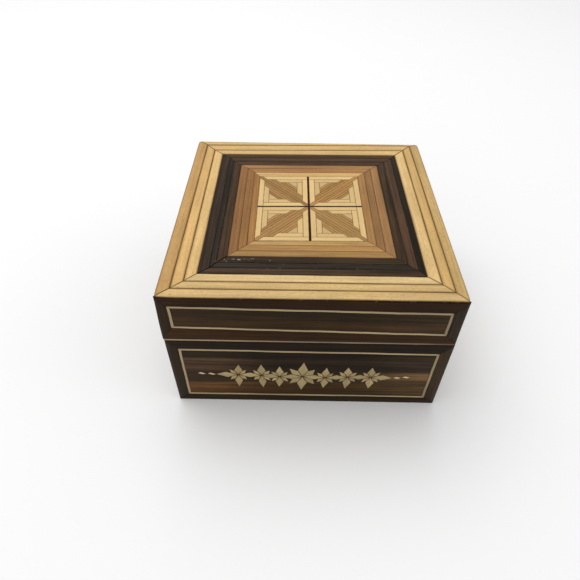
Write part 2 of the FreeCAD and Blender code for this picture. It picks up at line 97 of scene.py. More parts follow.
# Mitres are tighter than the long joints: their dark lines, glue and painted groove shade,
# are this many times narrower.
MITRE = 2.0

# ---- Helpers ----

def linear(r, g, b):
    """A colour as seen on screen, 0 to 255, as linear light."""
    values = np.array([r, g, b], float) / 255
    return np.where(values <= 0.04045, values / 12.92, ((values + 0.055) / 1.055) ** 2.4)


def top_tone(r, g, b):
    """Base colour of wood on the lid that looks like this under the studio light."""
    return np.maximum(linear(r, g, b) - 0.008, 0.002) / 0.98


def side_tone(r, g, b):
    """Base colour of wood on a side that looks like this under the studio light."""
    return np.maximum(linear(r, g, b) - 0.006, 0.0015) / 0.67


def draws(name):
    """Random numbers that stay the same for a piece whatever else changes."""
    return random.Random(f"{SEED} {name}")


def wander(rng, size, lengths=(47.0, 19.0, 8.3, 3.9)):
    """A smooth line that strays by about size either way."""
    waves = [(length * rng.uniform(0.8, 1.25), rng.uniform(0, math.tau)) for length in lengths]
    weights = (1.0, 0.7, 0.45, 0.25)[:len(waves)]

    def stray(along):
        along = np.asarray(along, float)
        wave = sum(
            weight * np.sin(math.tau * along / length + phase)
            for weight, (length, phase) in zip(weights, waves))
        return size * wave / sum(weights)
    return stray


def changing(*stops):
    """Tint that changes along a strip: pairs of a place and a colour."""
    places, colours = zip(*stops)
    return lambda position: np.stack(
        [np.interp(position, places, channel) for channel in zip(*colours)], axis=-1)


def smooth_step(value, low, high):
    share = np.clip((value - low) / (high - low), 0, 1)
    return share * share * (3 - 2 * share)


def mix(a, b, share):
    """From a, at a share of 0, to b, at a share of 1."""
    return a * (1 - share) + b * share


def fall(distance, rounding):
    """How far a rounded edge has dropped at this distance from it: (width, depth) of the curve."""
    width, depth = rounding
    inside = np.clip(1 - distance / width, 0, 1)
    return depth * (1 - np.sqrt(1 - inside ** 2))


def spaced(near, start, count, size=1.0, digits=6):
    """Places from 0 to size: those in near, the same from the far end, and count even ones."""
    even = np.linspace(start, size - start, count)
    places = (*near, *(size - place for place in near), *even)
    return np.array(sorted({round(float(place), digits) for place in places}))


def skirted(rows, columns):
    """Faces of a grid with a skirt and a flat underside, and the grid points along its rim."""
    total = rows * columns
    grid = np.arange(total).reshape(rows, columns)
    quads = np.stack([grid[:-1, :-1], grid[1:, :-1], grid[1:, 1:], grid[:-1, 1:]], axis=-1)
    rim = np.concatenate([grid[:, 0], grid[-1, 1:], grid[-2::-1, -1], grid[0, -2:0:-1]])
    below = total + np.arange(len(rim))
    skirt = np.stack([rim, below, np.roll(below, -1), np.roll(rim, -1)], axis=-1)
    faces = quads.reshape(-1, 4).tolist() + skirt.tolist() + [below.tolist()]
    return faces, np.unravel_index(rim, (rows, columns))


class Face:
    """A flat side of the box, turned by quarters: u runs along it and v across it.

    Heights stand out of it. bend moves points on the face, warp moves them in the box's own x and
    y, and the undersides of strips and sheets lie at the height under.
    """

    def __init__(self, origin, v, quarter, bend=None, warp=None, under=0.0):
        turn = Matrix.Rotation(math.radians(90 * quarter), 3, "Z")
        self.origin, self.u, self.v = (
            np.array(turn @ Vector(vector)) for vector in (origin, (1, 0, 0), v))
        self.out = np.cross(self.u, self.v)
        self.bend = bend
        self.warp = warp
        self.under = under

    def at(self, points, heights):
        if self.bend is not None:
            points = self.bend(points)
        flat = self.origin + points[..., :1] * self.u + points[..., 1:] * self.v
        if self.warp is not None:
            flat = self.warp(flat)
        return flat + heights[..., None] * self.out


class Veneer:
    """Thin wooden pieces gathered into one mesh, each with its grain, tint and edge distance."""

    def __init__(self, node, name=None):
        self.node = node
        self.name = name or "fine_" + node
        self.rng = draws(self.name)
        self.size = 0
        self.points, self.faces, self.grain, self.tint, self.edge = [], [], [], [], []

    def add(self, points, faces, grain, tint, edge):
        offset = [self.rng.uniform(0, 500) for _ in range(3)]
        self.points.append(points)
        self.faces += [[self.size + index for index in face] for face in faces]
        self.grain.append(grain + offset)
        self.tint.append(tint)
        self.edge.append(edge)
        self.size += len(points)

    def grid(self, face, flat, heights, grain, tint, edge):
        """A plate whose upper side is a grid of points and whose underside is flat."""
        faces, rim = skirted(*heights.shape)
        below = np.full(len(rim[0]), face.under)
        points = np.concatenate([face.at(flat, heights).reshape(-1, 3), face.at(flat[rim], below)])
        grain, tint = (
            np.concatenate([values.reshape(-1, 3), values[rim]]) for values in (grain, tint))
        # The skirt's points get an edge distance of 0, so the skirt takes the dark seam colour: glue,
        # and painted shade on the pieces' upright sides.
        self.add(points, faces, grain, tint, np.append(edge, np.zeros(len(below))))

    def bar(self, face, corners, top, rounding, tint, first_rounding=None, stray=0.03, tone=0.06,
            crown=0.0):
        """A strip between four corners, with its grain from the first corner to the second.

        first_rounding is for the edge between those two corners where it differs, stray is how
        far the long sides wander, tone how much the tint varies and crown the rise of the middle.
        """
        rng = self.rng
        p00, p10, p11, p01 = [np.array(corner, float) for corner in corners]
        middle = (p10 + p11 - p00 - p01) / 2
        length = np.linalg.norm(middle)
        along = middle / length
        across = np.array([-along[1], along[0]])
        if np.dot(across, p01 - p00) < 0:
            across = -across
        width = abs(np.dot(across, p01 - p00))
        first = first_rounding or rounding
        curve = (0, 0.06, 0.18, 0.4, 0.7, 1.0)
        near = [first[0] * k / width for k in curve]
        far = [1 - rounding[0] * k / width for k in curve]
        inner = [s for s in (0.35, 0.5, 0.65) if max(near) + 0.04 < s < min(far) - 0.04]
        s = np.array(sorted({round(value, 5) for value in near + inner + far}))
        t = spaced([k / length for k in (0, 0.1, 0.25, 0.5, 0.9)], 1.8 / length,
                   max(4, int(length / BAR_STEP)))
        t, s = np.meshgrid(t, s, indexing="ij")
        along_bar = t[..., None]
        flat = mix(mix(p00, p10, along_bar), mix(p01, p11, along_bar), s[..., None])
        position = flat @ along

        def from_line(a, b):
            direction = (b - a) / np.linalg.norm(b - a)
            offset = flat - a
            return np.abs(offset[..., 0] * direction[1] - offset[..., 1] * direction[0])

        from_first = from_line(p00, p10)
        from_last = from_line(p01, p11)
        from_ends = np.minimum(from_line(p00, p01), from_line(p10, p11))
        heights = (
            top - fall(from_first, first) - fall(from_last, rounding)
            - fall(from_ends, (BAR_END[0], min(BAR_END[1], rounding[1]))) - crown * (2 * s - 1) ** 2
            + wander(rng, 0.02)(position))
        shift = mix(wander(rng, stray)(position), wander(rng, stray)(position), s)
        edge = np.minimum(np.minimum(from_first, from_last), from_ends * MITRE)
        shade = 1 + wander(rng, tone, (90.0, 38.0, 17.0))(position)
        grain = np.stack([position, flat @ across, np.zeros_like(position)], axis=-1)
        tint = tint(position) if callable(tint) else np.asarray(tint)
        self.grid(face, flat + shift[..., None] * across, heights, grain,
                  tint * shade[..., None], edge)

    def sheet(self, face, low, high, top, tones):
        """A rectangular veneer whose tint comes from tones(u, v)."""
        low, high = np.array(low, float), np.array(high, float)
        lines = [
            start + spaced([0, 0.05, 0.15, 0.4], 1.0, max(3, int(size / SHEET_STEP)), size, 5)
            for start, size in zip(low, high - low)]
        u, v = np.meshgrid(*lines, indexing="ij")
        edge = np.minimum(
            np.minimum(u - low[0], high[0] - u), np.minimum(v - low[1], high[1] - v))
        heights = top - fall(edge, SIDE_EDGE) + wander(self.rng, 0.015)(u + 0.7 * v)
        self.grid(face, np.stack([u, v], axis=-1), heights,
                  np.stack([u, v, np.zeros_like(u)], axis=-1), tones(u, v), edge)

    def plate(self, face, corners, top, rounding, tint, along, low=0.0, stray=0.03, tilt=0.0,
              heart=None, heart_tint=None):
        """A flat piece with convex corners, a small rounded edge and hand-cut sides.

        It may lean by up to tilt, and its tint turns to heart_tint towards the point heart.
        """
        rng = self.rng
        corners = np.array(corners, float)
        after = np.roll(corners, -1, axis=0)
        if np.sum(corners[:, 0] * after[:, 1] - corners[:, 1] * after[:, 0]) < 0:
            corners = corners[::-1]
        center = corners.mean(axis=0)
        sides = np.roll(corners, -1, axis=0) - corners
        lengths = np.linalg.norm(sides, axis=1)
        normals = np.stack([-sides[:, 1], sides[:, 0]], axis=1) / lengths[:, None]
        reach = min(np.dot(normal, center - corner) for normal, corner in zip(normals, corners))
        width = min(rounding[0], 0.4 * reach)
        depth = rounding[1]
        levels = [(0.0, top - depth), (0.3 * width, top - 0.28 * depth), (width, top)]
        if 0.75 * reach > width * 1.1:
            levels.append((min(0.4, 0.75 * reach), top))
        counts = [max(1, int(length / PLATE_STEP)) for length in lengths]
        bends = [wander(rng, stray, (5.1, 2.3)) for _ in counts]
        pairs = [normals[[k - 1, k]] for k in range(len(corners))]
        rings = []
        for amount, height in levels:
            inset = [np.linalg.solve(pair, pair @ corner + amount)
                     for pair, corner in zip(pairs, corners)]
            points = []
            for k, count in enumerate(counts):
                for part in range(count):
                    share = part / count
                    point = mix(inset[k], inset[(k + 1) % len(inset)], share)
                    if part:
                        point = point + normals[k] * bends[k](share * lengths[k])
                    points.append(point)
            rings.append((np.array(points), height, amount))
        size = sum(counts)
        flat = np.concatenate([rings[0][0]] + [points for points, _, _ in rings])
        lean = np.array([rng.uniform(-tilt, tilt), rng.uniform(-tilt, tilt)])
        heights = np.concatenate([np.full(size, low)] + [
            height + (points - center) @ lean for points, height, _ in rings])
        edge = np.concatenate([np.zeros(size)] + [np.full(size, amount) for _, _, amount in rings])
        round_rim = np.arange(size)
        faces = [round_rim[::-1].tolist()]
        for _ in rings:
            sides = np.stack([round_rim, np.roll(round_rim, -1)], axis=-1)
            faces += np.hstack([sides, sides[:, ::-1] + size]).tolist()
            round_rim = round_rim + size
        faces.append(round_rim.tolist())
        along = np.array(along, float) / np.linalg.norm(along)
        grain = np.stack(
            [flat @ along, flat @ np.array([-along[1], along[0]]), np.zeros(len(flat))], axis=-1)
        colour = np.tile(np.asarray(tint, float), (len(flat), 1))
        if heart is not None:
            away = np.linalg.norm(flat - np.array(heart), axis=1)
            share = 1 - smooth_step(away, 0.0, HEART_REACH)[:, None]
            colour = mix(colour, np.asarray(heart_tint), share)
        self.add(face.at(flat, heights), faces, grain, colour, edge)

    def make(self, material, cut=None, sharp=38, corner=SIDE_CORNER):
        """Turns the gathered pieces into one object. A cut is a plane, a point and a normal."""
        mesh = bpy.data.meshes.new(self.name)
        points = worn(np.concatenate(self.points), body_of(self.node), corner)
        mesh.from_pydata((points * MM).tolist(), [], self.faces)
        tint = np.concatenate(self.tint)
        for label, kind, field, values in (
                ("grain", "FLOAT_VECTOR", "vector", np.concatenate(self.grain)),
                ("tint", "FLOAT_COLOR", "color", np.column_stack([tint, np.ones(len(tint))])),
                ("edge", "FLOAT", "value", np.concatenate(self.edge))):
            layer = mesh.attributes.new(label, kind, "POINT")
            layer.data.foreach_set(field, np.ascontiguousarray(values, np.float32).reshape(-1))
        return finish_mesh(mesh, material, self.node, cut, sharp)


def body_of(node):
    """The body that a veneer or a lining rides on."""
    return "base" if node.startswith("base") else "lid"


def placed(name, data):
    """A new object in the scene."""
    item = bpy.data.objects.new(name, data)
    bpy.context.scene.collection.objects.link(item)
    return item


def finish_mesh(mesh, material, node, cut, sharp):
    """Cuts a mesh, smooths it save at sharp edges, and puts it in a node's place as an object.

    The material goes in its one slot.
    """
    work = bmesh.new()
    work.from_mesh(mesh)
    if cut is not None:
        result = bmesh.ops.bisect_plane(
            work, geom=work.verts[:] + work.edges[:] + work.faces[:], dist=1e-7,
            plane_co=Vector(cut[0]) * MM, plane_no=Vector(cut[1]), clear_outer=True)
        rims = [part for part in result["geom_cut"] if isinstance(part, bmesh.types.BMEdge)]
        bmesh.ops.holes_fill(work, edges=rims, sides=0)
    bmesh.ops.recalc_face_normals(work, faces=work.faces[:])
    work.to_mesh(mesh)
    work.free()
    mesh.polygons.foreach_set("use_smooth", [True] * len(mesh.polygons))
    mesh.set_sharp_from_angle(angle=math.radians(sharp))
    mesh.materials.append(material)
    piece = placed(mesh.name, mesh)
    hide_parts(node)
    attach(piece, body_of(node))
    return piece


def curved(over, radius):
    """What to take off points this far over an edge's centre line, to lay them on its curve."""
    share = 1 - radius / np.maximum(np.linalg.norm(over, axis=1), radius)
    share[np.sum(over > 0, axis=1) < 2] = 0
    return over * share[:, None]


def worn(points, body, corner):
    """Rounds the box's upright corners and its top and bottom edges, and leans its two sides."""
    radius = EDGE_RADIUS[body]
    limits = np.array([HALF + (STRIP_OUT if corner == STRIP_CORNER else OUT), HALF, 0])
    way = np.sign(points)
    way[:, 2] = 1 if body == "lid" else -1
    over = np.maximum(np.abs(points) - (limits - corner), 0)
    over[:, 2] = 0
    points = points - way * curved(over, corner)
    over = np.abs(points) - (limits - radius)
    over[:, 2] = radius + (points[:, 2] - HEIGHT if body == "lid" else -points[:, 2])
    points -= way * curved(np.maximum(over, 0), radius)
    x, y, z = points.T
    lean = np.where(
        x < 0, np.interp(z, LEAN_HEIGHTS, LEFT_LEAN), np.interp(z, LEAN_HEIGHTS, RIGHT_LEAN))
    return np.stack([x + way[:, 0] * lean * smooth_step(np.abs(x), *LEAN_IN), y, z], axis=-1)


# ---- Materials ----

class Nodes:
    """Short way to write a material's node tree."""

    def __init__(self, name):
        self.material = bpy.data.materials.new("fine_" + name)
        self.material.use_nodes = True
        self.tree = self.material.node_tree
        self.tree.nodes.clear()
        self.shader = self.add("ShaderNodeBsdfPrincipled")
        output = self.add("ShaderNodeOutputMaterial")
        self.tree.links.new(self.shader.outputs[0], output.inputs["Surface"])

    def add(self, kind, **settings):
        node = self.tree.nodes.new(kind)
        for key, value in settings.items():
            setattr(node, key, value)
        return node

    def feed(self, socket, value):
        if isinstance(value, bpy.types.NodeSocket):
            self.tree.links.new(value, socket)
        elif value is not None:
            socket.default_value = value

    def fill(self, node, **values):
        """Feeds a node's inputs by name, with _ for the spaces in the names."""
        for key, value in values.items():
            self.feed(node.inputs[key.replace("_", " ")], value)

    def spot(self):
        """The place on the object, in millimetres."""
        return self.vector("SCALE", self.add("ShaderNodeTexCoord").outputs["Object"], scale=1000.0)

    def attribute(self, name, output):
        return self.add("ShaderNodeAttribute", attribute_name=name).outputs[output]

    def vector(self, operation, a, b=None, scale=None):
        node = self.add("ShaderNodeVectorMath", operation=operation)
        self.feed(node.inputs[0], a)
        self.feed(node.inputs[1], b)
        if scale is not None:
            self.feed(node.inputs["Scale"], scale)
        return node.outputs[0]

    def math(self, operation, a, b=None, c=None):
        node = self.add("ShaderNodeMath", operation=operation)
        for socket, value in zip(node.inputs, (a, b, c)):
            self.feed(socket, value)
        return node.outputs[0]

    def noise(self, vector, detail=4.0, roughness=0.55, distortion=0.0):
        node = self.add("ShaderNodeTexNoise")
        self.fill(node, Vector=vector, Scale=1.0, Detail=detail, Roughness=roughness,
                  Distortion=distortion)
        return node.outputs["Fac"]

    def stretched(self, place, scale, *settings):
        """Noise whose scale differs along the three axes, in 1/mm."""
        return self.noise(self.vector("MULTIPLY", place, scale), *settings)

    def fit(self, value, low, high, to_low=0.0, to_high=1.0, smooth=False):
        node = self.add("ShaderNodeMapRange", clamp=True)
        node.interpolation_type = "SMOOTHSTEP" if smooth else "LINEAR"
        self.fill(node, Value=value, From_Min=low, From_Max=high, To_Min=to_low, To_Max=to_high)
        return node.outputs[0]

    def blend(self, share, a, b, mode="MIX"):
        node = self.add("ShaderNodeMix", data_type="RGBA", blend_type=mode)
        self.feed(node.inputs["Factor"], share)
        self.feed(node.inputs[6], a if isinstance(a, bpy.types.NodeSocket) else (*a, 1.0))
        self.feed(node.inputs[7], b if isinstance(b, bpy.types.NodeSocket) else (*b, 1.0))
        return node.outputs[2]

    def bump(self, height, distance, strength=1.0):
        node = self.add("ShaderNodeBump")
        self.fill(node, Strength=strength, Distance=distance, Height=height)
        self.fill(self.shader, Normal=node.outputs[0])


RELIEF = 0.00005


def wood(name, light, dark, streak=0.8, grain_width=1.0, fibre=0.1, veins=0.0, pores=0.5,
         flecks=0.0, mottle=0.08, rays=0.0, glue=(48, 33, 23), seam=0.14, seam_share=0.85,
         shade=0.0, shade_width=0.8, wear=0.0, wear_colour=(122, 100, 80), roughness=0.42,
         gloss=0.15, relief=1.0, axis=None, tone=None, specks=()):
    """Varnished wood. Grain, tint and edge distance come from the mesh, in millimetres.

    light and dark are what the streaks do to the tint. fibre, veins, pores, flecks, mottle and
    rays say how strong each kind of figure is. seam and seam_share are the width and strength of
    the dark line round a strip: glue, and painted shade in the groove between strips and on their
    upright sides. shade and shade_width are the strength and width of the softer painted shade
    beside it, the shade of the strip's rounded edge with some stain. A board has no attributes:
    its grain runs along axis and its tint is tone. specks are ellipses of old glue and dust, each
    x, y and its half sizes.
    """
    n = Nodes(name)
    if axis is None:
        place = n.attribute("grain", "Vector")
        tint = n.attribute("tint", "Color")
        edge = n.attribute("edge", "Fac")
    else:
        split = n.add("ShaderNodeSeparateXYZ")
        n.feed(split.inputs[0], n.spot())
        join = n.add("ShaderNodeCombineXYZ")
        for target, source in enumerate((0, 1, 2) if axis == "x" else (1, 0, 2)):
            n.feed(join.inputs[target], split.outputs[source])
        place = join.outputs[0]
        tint = tone
    w = 1 / grain_width
    figure = n.stretched(place, (0.018, 0.8 * w, 0.8), 5.0, 0.62, 0.35)
    lines = n.stretched(place, (0.035, 3.0 * w, 3.0), 4.0, 0.6, 0.15)
    fine = n.stretched(place, (0.22, 9.0, 9.0), 3.0, 0.6)
    cloud = n.stretched(place, (0.05, 0.16, 0.16), 2.0, 0.5)
    pore = n.stretched(place, (0.5, 6.5, 6.5), 2.0, 0.5)

    mixed = n.math("MULTIPLY_ADD", figure, 0.6, n.math("MULTIPLY", lines, 0.4))
    lighter = n.blend(1.0, tint, light, "MULTIPLY")
    darker = n.blend(1.0, tint, dark, "MULTIPLY")
    striped = n.blend(n.fit(mixed, 0.36, 0.64), darker, lighter)
    colour = n.blend(streak, n.blend(0.5, darker, lighter), striped)
    if veins:
        vein = n.stretched(place, (0.012, 1.7 * w, 1.7), 3.0, 0.5, 0.2)
        ridge = n.math("ABSOLUTE", n.math("SUBTRACT", vein, 0.5))
        colour = n.vector("SCALE", colour, scale=n.fit(ridge, 0.0, 0.022, 1.0 - veins, 1.0))
    factors = [n.fit(fine, 0.3, 0.7, 1.0 - fibre, 1.0 + fibre),
               n.fit(cloud, 0.3, 0.7, 1.0 - mottle, 1.0 + mottle)]
    if rays:
        ray = n.stretched(place, (0.75, 1.5, 1.5), 3.0, 0.6, 0.3)
        factors.append(n.fit(ray, 0.32, 0.68, 1.0 - rays, 1.0 + rays))
    pits = n.fit(pore, 0.64, 0.72, 0.0, pores, smooth=True)
    factors.append(n.math("SUBTRACT", 1.0, n.math("MULTIPLY", pits, 0.6)))
    if flecks:
        fleck = n.stretched(place, (0.7, 1.9, 1.9), 2.0, 0.5)
        factors.append(n.fit(fleck, 0.62, 0.7, 1.0, 1.0 - flecks, smooth=True))
    # Painted shade: softly darker within shade_width of a strip's edge, for the shade of its rounded
    # edge, with some stain.
    if axis is None and shade:
        reach = n.math("MULTIPLY", edge, n.fit(cloud, 0.3, 0.7, 1.6, 0.75))
        factors.append(n.fit(reach, 0.0, shade_width, 1.0 - shade, 1.0, smooth=True))
    shades = factors[0]
    for factor in factors[1:]:
        shades = n.math("MULTIPLY", shades, factor)
    colour = n.vector("SCALE", colour, scale=shades)
    if axis is None:
        # The dark line round each strip, up to seam from its edge: glue, and painted shade in the
        # groove between strips and on their upright sides.
        ragged = n.math("MULTIPLY_ADD", lines, 0.26, n.math("SUBTRACT", edge, 0.13))
        ragged = n.math("MULTIPLY", ragged, n.fit(figure, 0.3, 0.7, 1.5, 0.6))
        colour = n.blend(
            n.fit(ragged, 0.02, seam, seam_share, 0.0, smooth=True), colour, linear(*glue))
        if wear:
            rub = n.stretched(place, (0.45, 1.5, 1.5), 4.0, 0.7)
            close = n.fit(edge, 0.0, 0.6, 0.16, 0.0)
            colour = n.blend(n.fit(n.math("ADD", close, rub), 0.72, 0.78, 0.0, wear), colour,
                             linear(*wear_colour))
    if specks:
        spot, near = n.spot(), 0.0
        for x, y, across, up in specks:
            away = n.add("ShaderNodeVectorMath", operation="LENGTH")
            n.feed(away.inputs[0], n.vector(
                "MULTIPLY", n.vector("SUBTRACT", spot, (x, y, HEIGHT)), (1 / across, 1 / up, 0.1)))
            near = n.math("MAXIMUM", near, n.fit(away.outputs["Value"], 0.0, 1.0, 0.3, 0.0))
        dots = n.stretched(spot, (0.8, 1.2, 0.6), 3.0, 0.65, 0.4)
        colour = n.blend(n.fit(n.math("ADD", near, dots), 0.72, 0.84, 0.0, 0.85), colour,
                         linear(175, 168, 160))
    blur = n.math("MULTIPLY_ADD", fine, 0.5, n.math("MULTIPLY", lines, 0.5))
    n.fill(n.shader, Base_Color=colour, Specular_IOR_Level=gloss,
           Roughness=n.fit(blur, 0.3, 0.7, roughness - 0.07, roughness + 0.09))
    height = n.math("SUBTRACT", n.math("MULTIPLY_ADD", fine, 0.35, n.math("MULTIPLY", lines, 0.6)),
                    n.math("MULTIPLY", pits, 0.9))
    n.bump(height, RELIEF * relief, 0.55)
    return n.material


def metal(name, colour, tarnish, roughness):
    """Brass with fine scratches, dulled in patches."""
    n = Nodes(name)
    spot = n.spot()
    cloud = n.stretched(spot, (0.55, 0.55, 0.55), 4.0, 0.6)
    scratch = n.stretched(spot, (0.8, 9.0, 9.0), 3.0, 0.6)
    mixed = n.blend(n.fit(cloud, 0.42, 0.66), colour, tarnish)
    n.fill(n.shader, Metallic=1.0,
           Base_Color=n.vector("SCALE", mixed, scale=n.fit(scratch, 0.3, 0.7, 0.88, 1.1)),
           Roughness=n.fit(cloud, 0.3, 0.7, roughness, roughness + 0.18))
    n.bump(scratch, 0.00002, 0.5)
    return n.material


def velvet_pile(name, colour, tip):
    """Velvet whose pile is brushed this way and that, with a little dust."""
    n = Nodes(name)
    spot = n.spot()
    pile = n.stretched(spot, (4.5, 4.5, 4.5), 3.0, 0.7)
    brushed = n.stretched(spot, (0.09, 0.05, 0.07), 3.0, 0.55, 0.8)
    dust = n.stretched(spot, (1.6, 1.6, 1.6), 2.0, 0.5)
    mixed = n.blend(n.fit(brushed, 0.38, 0.62), colour, tip)
    mixed = n.vector("SCALE", mixed, scale=n.fit(pile, 0.3, 0.7, 0.7, 1.25))
    mixed = n.blend(n.fit(dust, 0.74, 0.8, 0.0, 0.3), mixed, (0.35, 0.25, 0.22))
    n.fill(n.shader, Base_Color=mixed, Roughness=n.fit(pile, 0.3, 0.7, 0.8, 0.95),
           Sheen_Weight=0.55, Sheen_Roughness=0.4, Sheen_Tint=(0.9, 0.35, 0.38, 1.0))
    n.bump(pile, 0.00012, 0.7)
    return n.material


# seam and shade below set the painted shade in and beside each wood's grooves, together with its glue
# lines.
TAN = wood(
    "tan_wood", (1.12, 1.12, 1.1), (0.84, 0.8, 0.7), streak=0.9, fibre=0.07, flecks=0.25,
    mottle=0.07, rays=0.07, glue=(118, 80, 34), seam=0.42, shade=0.42, shade_width=1.1,
    roughness=0.48, relief=1.4)
DARK = wood(
    "dark_wood", (1.6, 1.48, 1.36), (0.34, 0.34, 0.34), streak=1.0, grain_width=0.8, fibre=0.2,
    pores=0.35, mottle=0.2, glue=(14, 10, 7), seam=0.24, wear=0.3, wear_colour=(120, 106, 94),
    roughness=0.36, gloss=0.07,
    specks=((-32.3, -35.3, 2.2, 1.5), (-22.4, -34.3, 1.5, 1.8), (-15.5, -34.8, 0.9, 0.9),
            (-27.0, -34.6, 6.0, 0.9), (-35.5, -35.8, 2.4, 1.4)))
BROWN = wood(
    "brown_wood", (1.18, 1.15, 1.1), (0.76, 0.7, 0.62), streak=1.0, grain_width=0.8, veins=0.35,
    flecks=0.15, glue=(96, 58, 24), seam=0.24, seam_share=0.5, shade=0.22, shade_width=0.6)
LEAF = wood(
    "leaf_wood", (1.1, 1.09, 1.07), (0.84, 0.81, 0.76), grain_width=0.6, veins=0.2, flecks=0.12,
    glue=(98, 62, 26), seam=0.13, seam_share=0.42, shade=0.12, shade_width=0.3, roughness=0.44)
PALE = wood(
    "pale_wood", (1.06, 1.06, 1.06), (0.88, 0.84, 0.76), grain_width=0.7, fibre=0.06, pores=0.35,
    flecks=0.14, mottle=0.06, glue=(126, 86, 36), seam=0.18, seam_share=0.7, shade=0.18,
    shade_width=0.5, roughness=0.44)
CROSS = wood(
    "cross_wood", (1.3, 1.25, 1.2), (0.7, 0.7, 0.7), streak=0.7, grain_width=0.6, pores=0.3,
    mottle=0.1, glue=(24, 16, 8), seam=0.1, gloss=0.07)
ROSEWOOD = dict(streak=1.0, flecks=0.2, glue=(12, 8, 5), roughness=0.4, gloss=0.07)
BORDER = wood(
    "border_rosewood", (1.6, 1.46, 1.32), (0.38, 0.37, 0.36), grain_width=0.7, fibre=0.2,
    veins=0.3, mottle=0.18, seam=0.2, wear=0.35, **ROSEWOOD)
FIELD = wood(
    "field_rosewood", (1.55, 1.43, 1.3), (0.42, 0.41, 0.4), grain_width=0.8, fibre=0.18,
    veins=0.28, pores=0.55, mottle=0.14, seam=0.3, **ROSEWOOD)
STRING = wood(
    "stringing_wood", (1.1, 1.08, 1.04), (0.82, 0.78, 0.7), streak=0.6, grain_width=0.5,
    fibre=0.06, pores=0.3, mottle=0.14, glue=(60, 42, 24), seam=0.12, seam_share=0.7,
    roughness=0.45)
PETAL = wood(
    "garland_wood", (1.14, 1.13, 1.1), (0.8, 0.78, 0.7), grain_width=0.6, rays=0.1, flecks=0.25,
    mottle=0.14, glue=(66, 48, 26), seam=0.15, roughness=0.45)
GLUE = wood(
    "dark_glue", (1.3, 1.25, 1.2), (0.7, 0.7, 0.7), streak=0.5, pores=0.4, seam_share=0.0,
    roughness=0.5)
BOARDS = {
    axis: wood(f"carcase_wood_{axis}", (1.15, 1.12, 1.05), (0.8, 0.74, 0.66), grain_width=1.4,
               veins=0.12, pores=0.6, mottle=0.1, roughness=0.55, relief=1.6, axis=axis,
               tone=linear(176, 138, 96))
    for axis in "xy"}
HINGE = metal("hinge_brass", (0.62, 0.42, 0.17), (0.36, 0.24, 0.1), 0.3)
SCREW = metal("screw_brass", (0.66, 0.5, 0.24), (0.4, 0.28, 0.12), 0.26)
VELVET = velvet_pile("velvet", (0.16, 0.008, 0.016), (0.3, 0.02, 0.035))

# ---- Lid top: nine mitred frames ----

# Colour of each frame's strips at the front, right, back and left.
TOP_COLOURS = (
    ((212, 181, 127), (201, 169, 114), (211, 183, 127), (195, 156, 101)),
    ((208, 177, 122), (207, 171, 112), (214, 177, 119), (216, 177, 117)),
    ((220, 191, 139), (219, 186, 130), (213, 181, 125), (221, 186, 127)),
    ((72, 58, 46), (46, 41, 33), (80, 60, 38), (60, 50, 41)),
    ((54, 48, 41), (79, 61, 48), (80, 64, 52), (50, 44, 38)),
    ((62, 51, 40), (67, 54, 41), (81, 62, 44), (69, 54, 41)),
    ((164, 129, 81), (160, 121, 80), (165, 126, 84), (147, 105, 64)),
    ((178, 138, 85), (148, 111, 72), (172, 128, 76), (152, 111, 65)),
    ((192, 157, 102), (168, 128, 79), (211, 175, 117), (162, 120, 70)))
# Material, rounding, crown and stray of the strips of each wood.
WOODS = {
    "tan": (TAN, (0.9, 0.26), 0.05, 0.06), "dark": (DARK, (0.4, 0.14), 0.02, 0.03),
    "brown": (BROWN, (0.4, 0.1), 0.02, 0.05)}


def askew(points):
    """Moves points to where the frames and the panel lie, not quite square to the lid."""
    x, y = points[..., 0], points[..., 1]
    climb = np.interp(y, (-43, -33, -23, 0, 23, 30, 43, 47, 52.5, 55),
                      (0.003, 0.004, 0.015, 0.026, 0.023, 0.018, 0.013, 0.026, 0.026, 0))
    lean = np.interp(np.abs(x), (0, 23, 33, 55), (0.0065, 0.006, 0.003, 0))
    inside = 1 - smooth_step(np.abs(x), 48, 55)
    return np.stack([x - lean * y, y + climb * inside * x, points[..., 2]], axis=-1)


# Half the width of a joint at a mitre, along a strip, and where it has opened a little.
MITRE_GAP = 0.05
STRIP_GAP = 0.02
OPEN_GAP = 0.3
OUTER_EDGE = (0.4, 0.35)
TOP_FACES = [Face((0, 0, DECK), (0, 1, 0), quarter, warp=askew) for quarter in range(4)]
TOP = TOP_FACES[0]


def reach(node):
    """How far a frame goes forwards, right, back and left."""
    low, high = span(node)
    return -low[1], high[0], high[1], -low[0]


# The front strip stops short of the box's front, so that the veneer covers its edge.
reaches = [(HALF - 0.25, HALF + STRIP_OUT, HALF, HALF + STRIP_OUT)]
reaches += [reach(node) for node in RINGS[1:] + ["top_cross"]]
for node, colours, outer, inner in zip(RINGS, TOP_COLOURS, reaches, reaches[1:]):
    kind = node.split("_")[1]
    material, rounding, crown, stray = WOODS[kind]
    ring = Veneer(node)
    for quarter, (face, colour) in enumerate(zip(TOP_FACES, colours)):
        before, after = (quarter - 1) % 4, (quarter + 1) % 4
        # The dark frames' joint has opened at the front left corner.
        joint = OPEN_GAP if kind == "dark" and quarter == 0 else MITRE_GAP
        corners = [
            (-outer[before] + joint, -outer[quarter] + STRIP_GAP),
            (outer[after] - MITRE_GAP, -outer[quarter] + STRIP_GAP),
            (inner[after] - MITRE_GAP, -inner[quarter] - STRIP_GAP),
            (-inner[before] + joint, -inner[quarter] - STRIP_GAP)]
        ring.bar(face, corners, STRIP, rounding, top_tone(*colour), stray=stray, crown=crown,
                 first_rounding=OUTER_EDGE if node == RINGS[0] else None)
    ring.make(material, corner=STRIP_CORNER)

# ---- Middle panel ----

# One quarter of the panel, its stepped bands, and the leaf's middle and outer strips as they are
# measured along the quarter's side.
QUARTER = 22.5
BAND = 2.4
SPINE = 1.7 * math.sqrt(0.5)
SLAT = 1.28 * math.sqrt(2)

